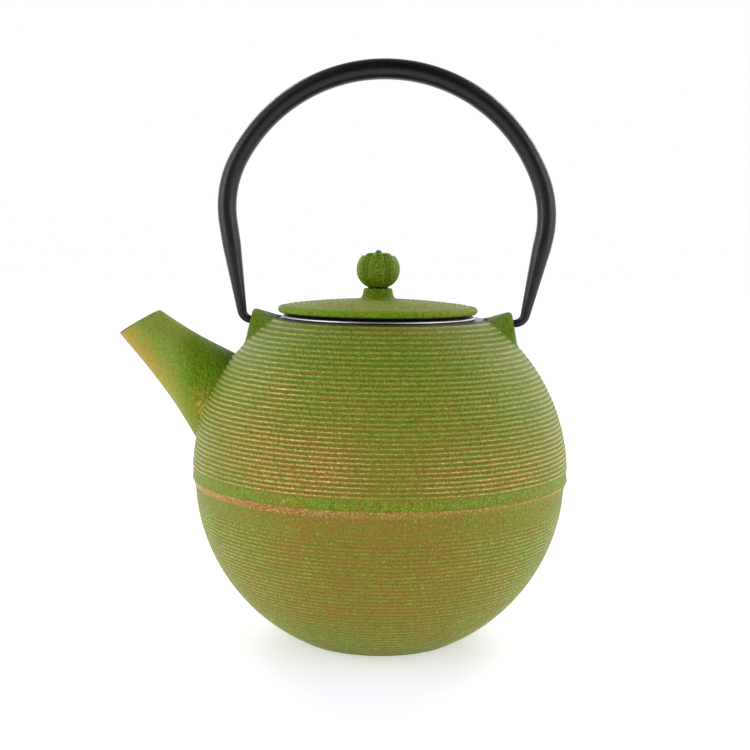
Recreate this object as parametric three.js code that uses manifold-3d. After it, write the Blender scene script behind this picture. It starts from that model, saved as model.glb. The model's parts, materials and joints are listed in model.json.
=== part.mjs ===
// Cast iron teapot: a round pot with a spout and two ears in one casting, an arched handle
// hooked into the ears, a lift-off lid with a riveted knob, and a lift-out tea infuser.
//
// Millimetres, +Z up. The origin is the centre of the flat base, the spout points along -X,
// and the handle swings about an axis parallel to X.

import * as THREE from 'three';
import { mergeVertices } from 'three/addons/utils/BufferGeometryUtils.js';
import Module from 'manifold-3d';

const wasm = await Module();
wasm.setup();

const RADIANS = Math.PI / 180;
const MERGE_DISTANCE = 1e-4;

// Pot: two nearly equal half spheres that meet at a sloping band.
const BELLY_Z = 64.1;
const UPPER_RADIUS = 73;
const LOWER_RADIUS = 72.15;
const BAND_TOP_Z = 63.4;
const BAND_TOP_RADIUS = 73.25;
const BAND_FOOT_Z = 60.6;
const BAND_LIP = 1;
const BASE_CHAMFER = 0.6;
const WALL = 4;
const FLOOR_THICKNESS = 4;
const MOUTH_Z = 124.5;
const MOUTH_RADIUS = 34.2;
const MOUTH_SLOPE_WIDTH = 2.2;
const MOUTH_SLOPE_HEIGHT = 0.5;
const MOUTH_LEDGE_RADIUS = 38.5;
const MOUTH_LEDGE_RISE = 0.5;

// Spout: a tube that widens from the lip to the belly, bent a little along its length.
const SPOUT_LIP = new THREE.Vector2(-94.8, 122.1);
const SPOUT_BEND = new THREE.Vector2(-86, 113.4);
const SPOUT_ROOT = new THREE.Vector2(-50, 82);
const SPOUT_LIP_RADIUS = 8.4;
const SPOUT_FLARE = 0.11;
const SPOUT_FLARE_GROWTH = 0.0025;
const SPOUT_LIP_WALL = 2.3;
const SPOUT_WALL_GROWTH = 0.03;
const LIP_SLANT = 0.298;
const LIP_SLANT_REACH = 30;
const LIP_OVERRUN = 5;
const LIP_ROUND = 0.7;

// Ears: blunt wedges on both sides of the mouth, with a blind hole for each hook.
const EAR_OUTLINE = [
  [36, 122.3], [39.6, 124.2], [47.2, 126.9], [48.5, 127.0], [49.7, 126.6], [50.6, 125.6],
  [51.1, 124.2], [52.7, 113.2], [47, 106], [38, 110],
];
const EAR_ROOT_HALF_WIDTH = 10.5;
const EAR_TIP_NARROWING = 0.72;
const EAR_HEIGHT = 8;
const EAR_BEVEL = 1.2;
const EAR_BEVEL_STEPS = 2;
const HINGE_Z = 123.1;
const HOLE_RADIUS = 2.2;
const HOLE_END = 45.6;

// Handle: one bar, thickest over the top and thinner towards its hooked ends. Its leg on the
// spout's side is a little straighter and its shoulder there a little higher.
const ARCH_RADIUS = 63.9;
const ARCH_Z = 155.75;
const SHOULDER_RADIUS = 40;
const SPOUT_SIDE = { shoulder: 28 * RADIANS, lean: 8.9 * RADIANS };
const FAR_SIDE = { shoulder: 20 * RADIANS, lean: 12.3 * RADIANS };
const HOOK_RADIUS = 4.2;
const PIN_TIP = 47.3;
const PIN_RADIUS = 1.4;
const PIN_ROUND = 0.5;
const HOOK_END = 11;
const BAR_SIDE_RADIUS = 3.6;
const BAR_TOP_RADIUS = 3.95;
const TAPER_START = 2;
const TAPER_END = 36;
const HANDLE_SIDE_PLAY = 0.5;

// Lid, knob and the rivet through both. They sit a little off the pot's axis.
const LID_SHIFT = -1.6;
const LID_RADIUS = 38.8;
const LID_DOME_RADIUS = 37.2;
const LID_FOOT_Z = 126.5;
const LID_EDGE_TOP_Z = 129.1;
const LID_CROWN_Z = 131.7;
const LID_THICKNESS = 3;
const SEAT_RADIUS = 35.4;
const SEAT_Z = 125.7;
const SKIRT_RADIUS = 29.6;
const SKIRT_WALL = 2.4;
const SKIRT_FOOT_Z = 120.5;
const COLLAR_RADIUS = 5.7;
const COLLAR_FOOT_RADIUS = 7.6;
const COLLAR_NECK_Z = 133.4;
const COLLAR_TOP_Z = 136.05;
const COLLAR_ROUND = 0.7;
const KNOB_RADIUS = 8.35;
const KNOB_HALF_HEIGHT = 7.25;
const KNOB_Z = 143.35;
const KNOB_FOOT_Z = 136.35;
const KNOB_TOP_Z = 148.75;
const KNOB_LOBES = 6;
const KNOB_TURN = 27.5 * RADIANS;
const KNOB_GROOVE = 0.05;
const KNOB_GROOVE_SHARPNESS = 0.35;
const PETAL_RADIUS = 5.2;
const PETAL_Z = 148.95;
const PETAL_THICKNESS = 0.85;
const PETAL_SHOULDER = 0.4;
const PETAL_DRAFT = 0.15;
const PETAL_SLOPE = 0.8;
const PETAL_GROOVE = 0.12;
const PETAL_GROOVE_SHARPNESS = 0.5;
const RIVET_RADIUS = 1.3;
const RIVET_HOLE_RADIUS = 1.6;
const RIVET_HEAD_Z = 150;
const RIVET_HEAD_RADIUS = 1.75;
const RIVET_HEAD_HEIGHT = 0.9;
const RIVET_TAIL_RADIUS = 2.6;
const RIVET_TAIL_HEIGHT = 1;
const RIVET_TAIL_CHAMFER = 0.6;
const WASHER_RADIUS = 5;
const WASHER_THICKNESS = 0.8;
const GAP = 0.3;

// Infuser: a pressed rim that hangs on the mouth, a mesh sleeve, and a mesh base in a ring.
const INFUSER_SHIFT = -1.2;
const FLANGE_RADIUS = 37.4;
const FLANGE_Z = 124.7;
const FLANGE_THICKNESS = 0.7;
const NECK_RADIUS = 32.2;
const NECK_WALL = 0.6;
const NECK_FOOT_Z = 117.5;
const SLEEVE_RADIUS = 31.3;
const SLEEVE_WALL = 0.4;
const SLEEVE_TOP_Z = 122;
const RING_RADIUS = 32;
const RING_WALL = 0.4;
const RING_FOOT_Z = 72.6;
const RING_HEIGHT = 5;
const RING_LEDGE = 28.6;

// How finely round shapes are divided.
const POT_SIDES = 60;
const SPOUT_SIDES = 32;
const BAR_SIDES = 14;
const LID_SIDES = 48;
const KNOB_SIDES = 36;
const WASHER_SIDES = 24;
const HOLE_SIDES = 20;
const RIVET_SIDES = 16;
const DOME_STEPS = 9;
const CAVITY_STEPS = 12;
const SPOUT_STEPS = 9;
const EDGE_STEPS = 6;
const DOME_RINGS = 4;
const BEAD_STEPS = 4;
const HOOK_STEPS = 9;
const LEG_STEPS = 5;
const ARCH_STEPS = 13;
const PATH_DIVISIONS = 1200;

const green = { color: 0x7d8a33, roughness: 0.62, metalness: 0.25 };
const black = { color: 0x191b1c, roughness: 0.42, metalness: 0.2 };
const steel = { color: 0xc2c4c6, roughness: 0.28, metalness: 1 };

// Points of a circular arc in the plane of a profile, both ends included.
function arcPoints(centreX, centreY, radius, from, to, steps) {
  return Array.from({ length: steps + 1 }, (_, i) => {
    const angle = from + ((to - from) * i) / steps;
    return [centreX + radius * Math.cos(angle), centreY + radius * Math.sin(angle)];
  });
}

// Evenly spaced numbers, both ends included.
function spread(from, to, steps) {
  return Array.from({ length: steps + 1 }, (_, i) => from + ((to - from) * i) / steps);
}

// A solid of revolution about Z from [radius, height] pairs, listed from the lowest outwards.
function revolve(profile, sides) {
  const points = profile.map(([radius, height]) => new THREE.Vector2(radius, height));
  return new THREE.LatheGeometry(points, sides).rotateX(Math.PI / 2);
}

// A closed ring about Z: its profile ends where it began.
function revolveRing(profile, sides) {
  return revolve([...profile, profile[0]], sides);
}

// A round bar bent along a path in the XZ plane. The profile holds [radius, distance] pairs.
// slant(distance) leans the bar's cross-sections.
function bentBar(path, profile, sides, slant = () => 0) {
  const points = profile.map(([radius, distance]) => new THREE.Vector2(radius, distance));
  const bar = new THREE.LatheGeometry(points, sides);
  const length = path.getLength();
  const place = bar.attributes.position;
  for (let i = 0; i < place.count; i += 1) {
    const side = place.getX(i);
    const across = place.getZ(i);
    const distance = place.getY(i);
    const along = THREE.MathUtils.clamp((distance + side * slant(distance)) / length, 0, 1);
    const middle = path.getPointAt(along);
    const ahead = path.getTangentAt(along);
    place.setXYZ(i, middle.x - ahead.y * side, across, middle.y + ahead.x * side);
  }
  return bar;
}

// A closed geometry as a manifold solid.
function solidOf(geometry) {
  const plain = geometry.clone();
  plain.deleteAttribute('normal');
  plain.deleteAttribute('uv');
  const merged = mergeVertices(plain, MERGE_DISTANCE);
  const corners = merged.index.array;
  const triVerts = [];
  for (let i = 0; i < corners.length; i += 3) {
    const [a, b, c] = corners.slice(i, i + 3);
    if (a !== b && b !== c && c !== a) triVerts.push(a, b, c);
  }
  const vertProperties = new Float32Array(merged.attributes.position.array);
  const mesh = new wasm.Mesh({ numProp: 3, vertProperties, triVerts: new Uint32Array(triVerts) });
  return new wasm.Manifold(mesh);
}

function geometryOf(solid) {
  const { numProp, vertProperties, triVerts } = solid.getMesh();
  const places = [];
  for (let i = 0; i < vertProperties.length; i += numProp) {
    places.push(vertProperties[i], vertProperties[i + 1], vertProperties[i + 2]);
  }
  const geometry = new THREE.BufferGeometry();
  geometry.setAttribute('position', new THREE.Float32BufferAttribute(places, 3));
  geometry.setIndex([...triVerts]);
  return geometry;
}

function part(name, geometry, look, shift = 0) {
  const mesh = new THREE.Mesh(geometry, new THREE.MeshStandardMaterial(look));
  mesh.name = name;
  mesh.position.x = shift;
  return mesh;
}

// Angle, seen from a sphere's centre, of the height z above that centre.
function latitude(z, radius) {
  return Math.asin(z / radius);
}

function potShell() {
  const lower = arcPoints(
    0, BELLY_Z, LOWER_RADIUS,
    latitude(BASE_CHAMFER - BELLY_Z, LOWER_RADIUS),
    latitude(BAND_FOOT_Z - BELLY_Z, LOWER_RADIUS), DOME_STEPS,
  );
  const upper = arcPoints(
    0, BELLY_Z, UPPER_RADIUS,
    latitude(BAND_TOP_Z + BAND_LIP - BELLY_Z, UPPER_RADIUS),
    latitude(MOUTH_Z - MOUTH_SLOPE_HEIGHT - BELLY_Z, UPPER_RADIUS), DOME_STEPS,
  );
  const [baseRadius] = lower[0];
  const [rimRadius] = upper.at(-1);
  return solidOf(revolve([
    [0, 0], [baseRadius - BASE_CHAMFER, 0], ...lower,
    [BAND_TOP_RADIUS, BAND_TOP_Z], ...upper,
    [rimRadius - MOUTH_SLOPE_WIDTH, MOUTH_Z], [0, MOUTH_Z],
  ], POT_SIDES));
}

function potCavity() {
  const radius = UPPER_RADIUS - WALL;
  const hollow = arcPoints(
    0, BELLY_Z, radius,
    latitude(FLOOR_THICKNESS - BELLY_Z, radius),
    Math.acos(MOUTH_LEDGE_RADIUS / radius), CAVITY_STEPS,
  );
  const [, ledgeZ] = hollow.at(-1);
  const above = MOUTH_Z + WALL;
  return solidOf(revolve([
    [0, FLOOR_THICKNESS], ...hollow, [MOUTH_RADIUS, ledgeZ + MOUTH_LEDGE_RISE],
    [MOUTH_RADIUS, above], [0, above],
  ], POT_SIDES));
}

// The spout's middle line, from a little outside the lip to inside the pot.
function spoutPath() {
  const outwards = SPOUT_LIP.clone().sub(SPOUT_BEND).setLength(LIP_OVERRUN).add(SPOUT_LIP);
  const path = new THREE.Path();
  path.arcLengthDivisions = PATH_DIVISIONS;
  path.moveTo(outwards.x, outwards.y);
  path.lineTo(SPOUT_LIP.x, SPOUT_LIP.y);
  path.quadraticCurveTo(SPOUT_BEND.x, SPOUT_BEND.y, SPOUT_ROOT.x, SPOUT_ROOT.y);
  return path;
}

// Outer radius at a distance from the lip.
function spoutRadius(distance) {
  return SPOUT_LIP_RADIUS + SPOUT_FLARE * distance + SPOUT_FLARE_GROWTH * distance ** 2;
}

function lipSlant(distance) {
  const faded = 1 - (distance - LIP_OVERRUN) / LIP_SLANT_REACH;
  return LIP_SLANT * THREE.MathUtils.clamp(faded, 0, 1);
}

function spoutOuter() {
  const path = spoutPath();
  const length = path.getLength() - LIP_OVERRUN;
  const walls = spread(LIP_ROUND, length, SPOUT_STEPS).map((d) => [
    spoutRadius(d), d + LIP_OVERRUN,
  ]);
  return solidOf(bentBar(path, [
    [0, LIP_OVERRUN], [SPOUT_LIP_RADIUS - LIP_ROUND, LIP_OVERRUN], ...walls,
    [0, length + LIP_OVERRUN],
  ], SPOUT_SIDES, lipSlant));
}

function spoutChannel() {
  const path = spoutPath();
  const length = path.getLength();
  const walls = spread(0, length, SPOUT_STEPS).map((d) => {
    const inside = Math.max(d - LIP_OVERRUN, 0);
    return [spoutRadius(inside) - SPOUT_LIP_WALL - SPOUT_WALL_GROWTH * inside, d];
  });
  return solidOf(bentBar(path, [[0, 0], ...walls, [0, length]], SPOUT_SIDES));
}

// One ear: an outline in the XZ plane, thinned towards its tip. side is 1 or -1.
function ear(side) {
  const outline = new THREE.Shape(EAR_OUTLINE.map(([x, z]) => new THREE.Vector2(side * x, z)));
  const depth = 2 * (EAR_ROOT_HALF_WIDTH - EAR_BEVEL);
  const wedge = new THREE.ExtrudeGeometry(outline, {
    depth, bevelThickness: EAR_BEVEL, bevelSize: EAR_BEVEL, bevelOffset: -EAR_BEVEL,
    bevelSegments: EAR_BEVEL_STEPS,
  });
  wedge.translate(0, 0, -depth / 2).rotateX(Math.PI / 2);
  const place = wedge.attributes.position;
  for (let i = 0; i < place.count; i += 1) {
    const height = Math.hypot(place.getX(i), place.getZ(i) - BELLY_Z) - UPPER_RADIUS;
    const reach = THREE.MathUtils.clamp(height / EAR_HEIGHT, 0, 1);
    place.setY(i, place.getY(i) * (1 - EAR_TIP_NARROWING * reach));
  }
  return solidOf(wedge);
}

function hookHole(side) {
  const length = ARCH_RADIUS - HOLE_END;
  const hole = new THREE.CylinderGeometry(HOLE_RADIUS, HOLE_RADIUS, length, HOLE_SIDES);
  hole.rotateZ(Math.PI / 2).translate(side * (HOLE_END + length / 2), 0, HINGE_Z);
  return solidOf(hole);
}

function potBody() {
  let pot = potShell().add(spoutOuter()).add(ear(1)).add(ear(-1));
  pot = pot.subtract(potCavity()).subtract(spoutChannel());
  pot = pot.subtract(hookHole(1)).subtract(hookHole(-1));
  return geometryOf(pot);
}

// Centres of a handle side's shoulder and hook, at x > 0.
function sideCentres({ shoulder, lean }) {
  const shoulderX = (ARCH_RADIUS - SHOULDER_RADIUS) * Math.cos(shoulder);
  const shoulderZ = ARCH_Z + (ARCH_RADIUS - SHOULDER_RADIUS) * Math.sin(shoulder);
  const hookZ = HINGE_Z + HOOK_RADIUS;
  const reach = (SHOULDER_RADIUS - HOOK_RADIUS) / Math.cos(lean);
  const hookX = shoulderX + reach - (shoulderZ - hookZ) * Math.tan(lean);
  return { shoulderX, shoulderZ, hookX, hookZ };
}

// Middle line of the handle, from one pin's tip over the top to the other's.
function handlePath() {
  const near = sideCentres(SPOUT_SIDE);
  const far = sideCentres(FAR_SIDE);
  const path = new THREE.Path();
  path.arcLengthDivisions = PATH_DIVISIONS;
  path.moveTo(-PIN_TIP, HINGE_Z);
  path.lineTo(-near.hookX, HINGE_Z);
  path.absarc(-near.hookX, near.hookZ, HOOK_RADIUS,
    -Math.PI / 2, SPOUT_SIDE.lean - Math.PI, true);
  path.absarc(-near.shoulderX, near.shoulderZ, SHOULDER_RADIUS,
    Math.PI + SPOUT_SIDE.lean, Math.PI - SPOUT_SIDE.shoulder, true);
  path.absarc(0, ARCH_Z, ARCH_RADIUS, Math.PI - SPOUT_SIDE.shoulder, FAR_SIDE.shoulder, true);
  path.absarc(far.shoulderX, far.shoulderZ, SHOULDER_RADIUS,
    FAR_SIDE.shoulder, -FAR_SIDE.lean, true);
  path.absarc(far.hookX, far.hookZ, HOOK_RADIUS, -FAR_SIDE.lean, -Math.PI / 2, true);
  path.lineTo(PIN_TIP, HINGE_Z);
  return path;
}

// Radius of the bar at a distance from the nearer pin's tip.
function barRadius(distance, half) {
  if (distance < TAPER_END) {
    const t = THREE.MathUtils.clamp((distance - TAPER_START) / (TAPER_END - TAPER_START), 0, 1);
    return THREE.MathUtils.lerp(PIN_RADIUS, BAR_SIDE_RADIUS, t);
  }
  const t = (distance - TAPER_END) / (half - TAPER_END);
  return THREE.MathUtils.lerp(BAR_SIDE_RADIUS, BAR_TOP_RADIUS, t);
}

function handle() {
  const path = handlePath();
  const length = path.getLength();
  const half = length / 2;
  const near = [
    ...spread(PIN_ROUND, HOOK_END, HOOK_STEPS),
    ...spread(HOOK_END, TAPER_END, LEG_STEPS).slice(1),
    ...spread(TAPER_END, half, ARCH_STEPS).slice(1),
  ].map((d) => [barRadius(d, half), d]);
  const far = near.slice(0, -1).reverse().map(([radius, d]) => [radius, length - d]);
  const tip = PIN_RADIUS - PIN_ROUND;
  const profile = [[0, 0], [tip, 0], ...near, ...far, [tip, length], [0, length]];
  return bentBar(path, profile, BAR_SIDES);
}

// Height of the lid's domed top at a radius.
function lidTop(radius) {
  const fall = LID_CROWN_Z - LID_EDGE_TOP_Z;
  return LID_CROWN_Z - fall * (radius / LID_DOME_RADIUS) ** 2;
}

function lid() {
  const skirtInner = SKIRT_RADIUS - SKIRT_WALL;
  const edgeHalf = (LID_EDGE_TOP_Z - LID_FOOT_Z) / 2;
  const edge = arcPoints(
    LID_RADIUS - edgeHalf, LID_FOOT_Z + edgeHalf, edgeHalf, -Math.PI / 2, Math.PI / 2, EDGE_STEPS,
  );
  const domed = spread(LID_DOME_RADIUS, COLLAR_FOOT_RADIUS, DOME_RINGS).slice(1)
    .map((radius) => [radius, lidTop(radius)]);
  const collar = [
    [COLLAR_RADIUS, COLLAR_NECK_Z], [COLLAR_RADIUS, COLLAR_TOP_Z - COLLAR_ROUND],
    [COLLAR_RADIUS - COLLAR_ROUND, COLLAR_TOP_Z],
  ];
  const under = spread(0, skirtInner, 2).slice(1)
    .map((radius) => [radius, lidTop(radius) - LID_THICKNESS]);
  return revolveRing([
    [RIVET_HOLE_RADIUS, lidTop(0) - LID_THICKNESS], ...under,
    [skirtInner, SKIRT_FOOT_Z], [SKIRT_RADIUS, SKIRT_FOOT_Z], [SKIRT_RADIUS, SEAT_Z],
    [SEAT_RADIUS, SEAT_Z], [SEAT_RADIUS, LID_FOOT_Z],
    ...edge, ...domed, ...collar, [RIVET_HOLE_RADIUS, COLLAR_TOP_Z],
  ], LID_SIDES);
}

// Draws in a round shape's sides between the knob's lobes.
function groove(geometry, depth, sharpness) {
  const place = geometry.attributes.position;
  for (let i = 0; i < place.count; i += 1) {
    const angle = Math.atan2(place.getY(i), place.getX(i));
    const radius = Math.hypot(place.getX(i), place.getY(i));
    const inLobe = Math.abs(Math.cos((KNOB_LOBES * angle) / 2)) ** sharpness;
    const scale = radius > RIVET_HOLE_RADIUS + GAP ? 1 - depth * (1 - inLobe) : 1;
    place.setXY(i, place.getX(i) * scale, place.getY(i) * scale);
  }
  return geometry.rotateZ(KNOB_TURN);
}

function knob() {
  const from = Math.asin((KNOB_FOOT_Z - KNOB_Z) / KNOB_HALF_HEIGHT);
  const to = Math.asin((KNOB_TOP_Z - KNOB_Z) / KNOB_HALF_HEIGHT);
  const side = spread(from, to, DOME_STEPS).map((angle) => [
    KNOB_RADIUS * Math.cos(angle), KNOB_Z + KNOB_HALF_HEIGHT * Math.sin(angle),
  ]);
  const ball = revolveRing([
    [RIVET_HOLE_RADIUS, KNOB_FOOT_Z], ...side, [RIVET_HOLE_RADIUS, KNOB_TOP_Z],
  ], KNOB_SIDES);
  return groove(ball, KNOB_GROOVE, KNOB_GROOVE_SHARPNESS);
}

function petalWasher() {
  const top = PETAL_Z + PETAL_THICKNESS;
  const washer = revolveRing([
    [RIVET_HOLE_RADIUS, PETAL_Z], [PETAL_RADIUS, PETAL_Z],
    [PETAL_RADIUS - PETAL_DRAFT, PETAL_Z + PETAL_SHOULDER],
    [PETAL_RADIUS - PETAL_SLOPE, top], [RIVET_HOLE_RADIUS, top],
  ], KNOB_SIDES);
  return groove(washer, PETAL_GROOVE, PETAL_GROOVE_SHARPNESS);
}

function washerTop() {
  return LID_CROWN_Z - LID_THICKNESS - GAP;
}

function washer() {
  const top = washerTop();
  const foot = top - WASHER_THICKNESS;
  return revolveRing([
    [RIVET_HOLE_RADIUS, foot], [WASHER_RADIUS, foot], [WASHER_RADIUS, top],
    [RIVET_HOLE_RADIUS, top],
  ], WASHER_SIDES);
}

function rivet() {
  const tailTop = washerTop() - WASHER_THICKNESS - GAP;
  const tailFoot = tailTop - RIVET_TAIL_HEIGHT;
  const head = spread(0, Math.PI / 2, BEAD_STEPS).map((angle) => [
    RIVET_HEAD_RADIUS * Math.cos(angle), RIVET_HEAD_Z + RIVET_HEAD_HEIGHT * Math.sin(angle),
  ]);
  return revolve([
    [0, tailFoot], [RIVET_TAIL_RADIUS - RIVET_TAIL_CHAMFER, tailFoot],
    [RIVET_TAIL_RADIUS, tailFoot + RIVET_TAIL_CHAMFER],
    [RIVET_TAIL_RADIUS, tailTop], [RIVET_RADIUS, tailTop], [RIVET_RADIUS, RIVET_HEAD_Z],
    ...head.slice(0, -1), [0, RIVET_HEAD_Z + RIVET_HEAD_HEIGHT],
  ], RIVET_SIDES);
}

function infuserRim() {
  const inner = NECK_RADIUS - NECK_WALL;
  const middle = FLANGE_Z + FLANGE_THICKNESS / 2;
  const bead = arcPoints(
    FLANGE_RADIUS - FLANGE_THICKNESS / 2, middle, FLANGE_THICKNESS / 2,
    -Math.PI / 2, Math.PI / 2, BEAD_STEPS,
  );
  return revolveRing([
    [inner, NECK_FOOT_Z], [NECK_RADIUS, NECK_FOOT_Z], [NECK_RADIUS, FLANGE_Z], ...bead,
    [inner, FLANGE_Z + FLANGE_THICKNESS],
  ], LID_SIDES);
}

// A plain tube wall about Z.
function tubeWall(radius, wall, foot, top) {
  return revolveRing([
    [radius - wall, foot], [radius, foot], [radius, top], [radius - wall, top],
  ], LID_SIDES);
}

function infuserBase() {
  const foot = RING_FOOT_Z + RING_WALL + GAP;
  const radius = RING_RADIUS - RING_WALL - GAP;
  return revolve([
    [0, foot], [radius, foot], [radius, foot + SLEEVE_WALL], [0, foot + SLEEVE_WALL],
  ], LID_SIDES);
}

function infuserRing() {
  const inner = RING_RADIUS - RING_WALL;
  const web = RING_FOOT_Z + RING_WALL;
  return revolveRing([
    [RING_LEDGE, RING_FOOT_Z], [RING_RADIUS, RING_FOOT_Z], [RING_RADIUS, RING_FOOT_Z + RING_HEIGHT],
    [inner, RING_FOOT_Z + RING_HEIGHT], [inner, web], [RING_LEDGE, web],
  ], LID_SIDES);
}

const sleeveFoot = RING_FOOT_Z + RING_WALL + SLEEVE_WALL + 2 * GAP;

const teapot = new THREE.Group();
teapot.add(
  part('pot_body', potBody(), green),
  part('bail_handle', handle(), black, HANDLE_SIDE_PLAY),
);

const lidParts = new THREE.Group();
lidParts.add(
  part('lid', lid(), green),
  part('lid_knob', knob(), green),
  part('knob_petal_washer', petalWasher(), green),
  part('knob_rivet', rivet(), green),
  part('lid_inner_washer', washer(), steel),
);
lidParts.position.x = LID_SHIFT;
teapot.add(lidParts);

const infuser = new THREE.Group();
infuser.add(
  part('infuser_rim', infuserRim(), steel),
  part('infuser_sleeve', tubeWall(SLEEVE_RADIUS, SLEEVE_WALL, sleeveFoot, SLEEVE_TOP_Z), steel),
  part('infuser_base_mesh', infuserBase(), steel),
  part('infuser_base_ring', infuserRing(), steel),
);
infuser.position.x = INFUSER_SHIFT;
teapot.add(infuser);

export default teapot;
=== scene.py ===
"""Cast iron teapot: the fine surfaces, materials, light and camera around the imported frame.

Lengths are in millimetres until a mesh is made, when they become metres. The frame is the CAD
model's: origin at the centre of the base, +Z up, the spout along -X.
"""

import functools
import json
import math

import bpy
import numpy as np
from mathutils import Matrix, Vector


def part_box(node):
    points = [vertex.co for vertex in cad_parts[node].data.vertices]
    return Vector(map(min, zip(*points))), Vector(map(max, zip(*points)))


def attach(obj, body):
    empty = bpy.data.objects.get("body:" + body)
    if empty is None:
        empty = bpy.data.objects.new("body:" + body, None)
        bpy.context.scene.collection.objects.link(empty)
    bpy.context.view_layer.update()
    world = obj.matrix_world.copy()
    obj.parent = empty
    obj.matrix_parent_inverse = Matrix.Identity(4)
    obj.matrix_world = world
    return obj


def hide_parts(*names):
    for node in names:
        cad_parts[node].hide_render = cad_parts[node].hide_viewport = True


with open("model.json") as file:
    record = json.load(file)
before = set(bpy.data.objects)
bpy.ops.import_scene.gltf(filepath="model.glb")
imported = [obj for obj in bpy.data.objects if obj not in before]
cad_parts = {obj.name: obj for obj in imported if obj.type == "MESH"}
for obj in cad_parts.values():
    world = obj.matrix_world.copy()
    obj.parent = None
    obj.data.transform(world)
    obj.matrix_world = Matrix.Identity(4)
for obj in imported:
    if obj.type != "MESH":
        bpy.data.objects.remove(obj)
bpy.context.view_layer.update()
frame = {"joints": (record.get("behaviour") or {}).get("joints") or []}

MM = 0.001
HINGE_Z = frame["joints"][0]["pos_m"][2] / MM

# Pot: two nearly equal half spheres that meet at a sloping band.
BELLY_Z = 64.1
UPPER_RADIUS = 73.0
LOWER_RADIUS = 72.15
BAND_TOP_Z = 63.4
BAND_TOP_RADIUS = 73.25
BAND_FOOT_Z = 60.6
BAND_ROUND = 0.35
BASE_CHAMFER = 0.6
WALL = 4.0
FLOOR_THICKNESS = 4.0
MOUTH_Z = 124.5
MOUTH_RADIUS = 34.2
MOUTH_SLOPE_WIDTH = 2.2
MOUTH_SLOPE_HEIGHT = 0.5
MOUTH_LEDGE_RADIUS = 38.5
MOUTH_LEDGE_RISE = 0.5

# Raised lines round the pot and over the lid. A line's shape is a bell curve across it.
UPPER_PITCH = 1.626
UPPER_CREST_Z = 70.09
UPPER_RIB = 0.3
UPPER_RIBS_START = 67.4
UPPER_RIBS_END = 123.5
LOWER_PITCH = 1.515
LOWER_CREST_Z = 24.17
LOWER_RIB = 0.2
LOWER_RIBS_FADE = (58.0, 49.0)
LOWER_RIBS_END = 1.2
RIB_WIDTH = 0.19
RIB_SAMPLES = (-0.5, -0.32, -0.15, 0.0, 0.15, 0.32)
LID_PITCH = 2.0
LID_RIB = 0.24
LID_RIBS = (9.0, 35.6)

# Spout: a tube that widens from the lip to the belly, bent a little along its length. SPOUT_AHEAD is
# its general direction, inwards, and SPOUT_RUB is the worn place on the belly beside its root.
SPOUT_LIP = (-95.1, 121.8)
SPOUT_BEND = (-86.0, 113.4)
SPOUT_ROOT = (-50.0, 82.0)
SPOUT_RUB = (-66.5, -13.5, 91.0)
SPOUT_AHEAD = (0.756, -0.654)
SPOUT_LIP_RADIUS = 8.8
SPOUT_FLARE = 0.104
SPOUT_FLARE_GROWTH = 0.0025
SPOUT_LIP_WALL = 2.3
SPOUT_WALL_GROWTH = 0.03
LIP_SLANT = 0.298
LIP_SLANT_REACH = 30.0
LIP_OVERRUN = 5.0
LIP_ROUND = 0.8
CHANNEL_FROM_X = -55.0
CHANNEL_MARGIN = 0.8

# Ears: blunt wedges on both sides of the mouth, with a blind hole for each hook.
EAR_OUTER_FACE = ((51.1, 124.2), (52.7, 113.2))
EAR_TOP_FACE = ((39.6, 124.1), (47.2, 126.9))
EAR_ANGLE = math.radians(50)
EAR_HALF_WIDTH = 10.5
EAR_SIDE_SLOPE = math.radians(47)
EAR_EDGE_ROUND = 2.2
EAR_BLEND = 1.0
EAR_REACH = 16.0
EAR_FROM_X = 30.0
EAR_FROM_RISE = 25.0
HOLE_RADIUS = 2.2
HOLE_END = 45.6

# Handle: one bar, thickest over the top and thinner towards its hooked ends. For each side: where the
# arch ends, as an angle above level, and how far the leg leans from upright.
ARCH_RADIUS = 63.9
ARCH_Z = 155.75
SHOULDER_RADIUS = 40.0
SPOUT_SIDE = (math.radians(28), math.radians(8.9))
FAR_SIDE = (math.radians(20), math.radians(12.3))
HOOK_RADIUS = 4.2
PIN_TIP = 47.3
PIN_RADIUS = 1.4
PIN_ROUND = 0.5
BAR_SIDE_RADIUS = 3.6
BAR_TOP_RADIUS = 3.95
TAPER_START = 2.0
TAPER_END = 36.0
HOOK_LENGTH = 14.0
HANDLE_SIDE_PLAY = 0.5

# Lid, knob and rivet, about the lid's own axis.
LID_RADIUS = 38.8
LID_DOME_RADIUS = 37.2
LID_FOOT_Z = 126.5
LID_EDGE_TOP_Z = 129.1
LID_CROWN_Z = 131.7
LID_THICKNESS = 3.0
SEAT_RADIUS = 35.4
SEAT_Z = 125.7
SEAT_CHAMFER = 0.3
SKIRT_RADIUS = 29.6
SKIRT_WALL = 2.4
SKIRT_FOOT_Z = 120.5
COLLAR_RADIUS = 5.6
COLLAR_CONE = 0.7
COLLAR_FLARE = 1.5
COLLAR_TOP_Z = 136.05
COLLAR_ROUND = 0.5
KNOB_RADIUS = 8.6
KNOB_HALF_HEIGHT = 7.6
KNOB_ROUNDNESS = 2.12
KNOB_Z = 143.35
KNOB_FOOT_Z = 136.1
KNOB_FOOT_RADIUS = 3.9
KNOB_BOWL_Z = 136.6
KNOB_BOWL_HEIGHT = 4.0
KNOB_TOP_Z = 148.7
KNOB_LOBES = 6
KNOB_TURN = math.radians(27.5)
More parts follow.
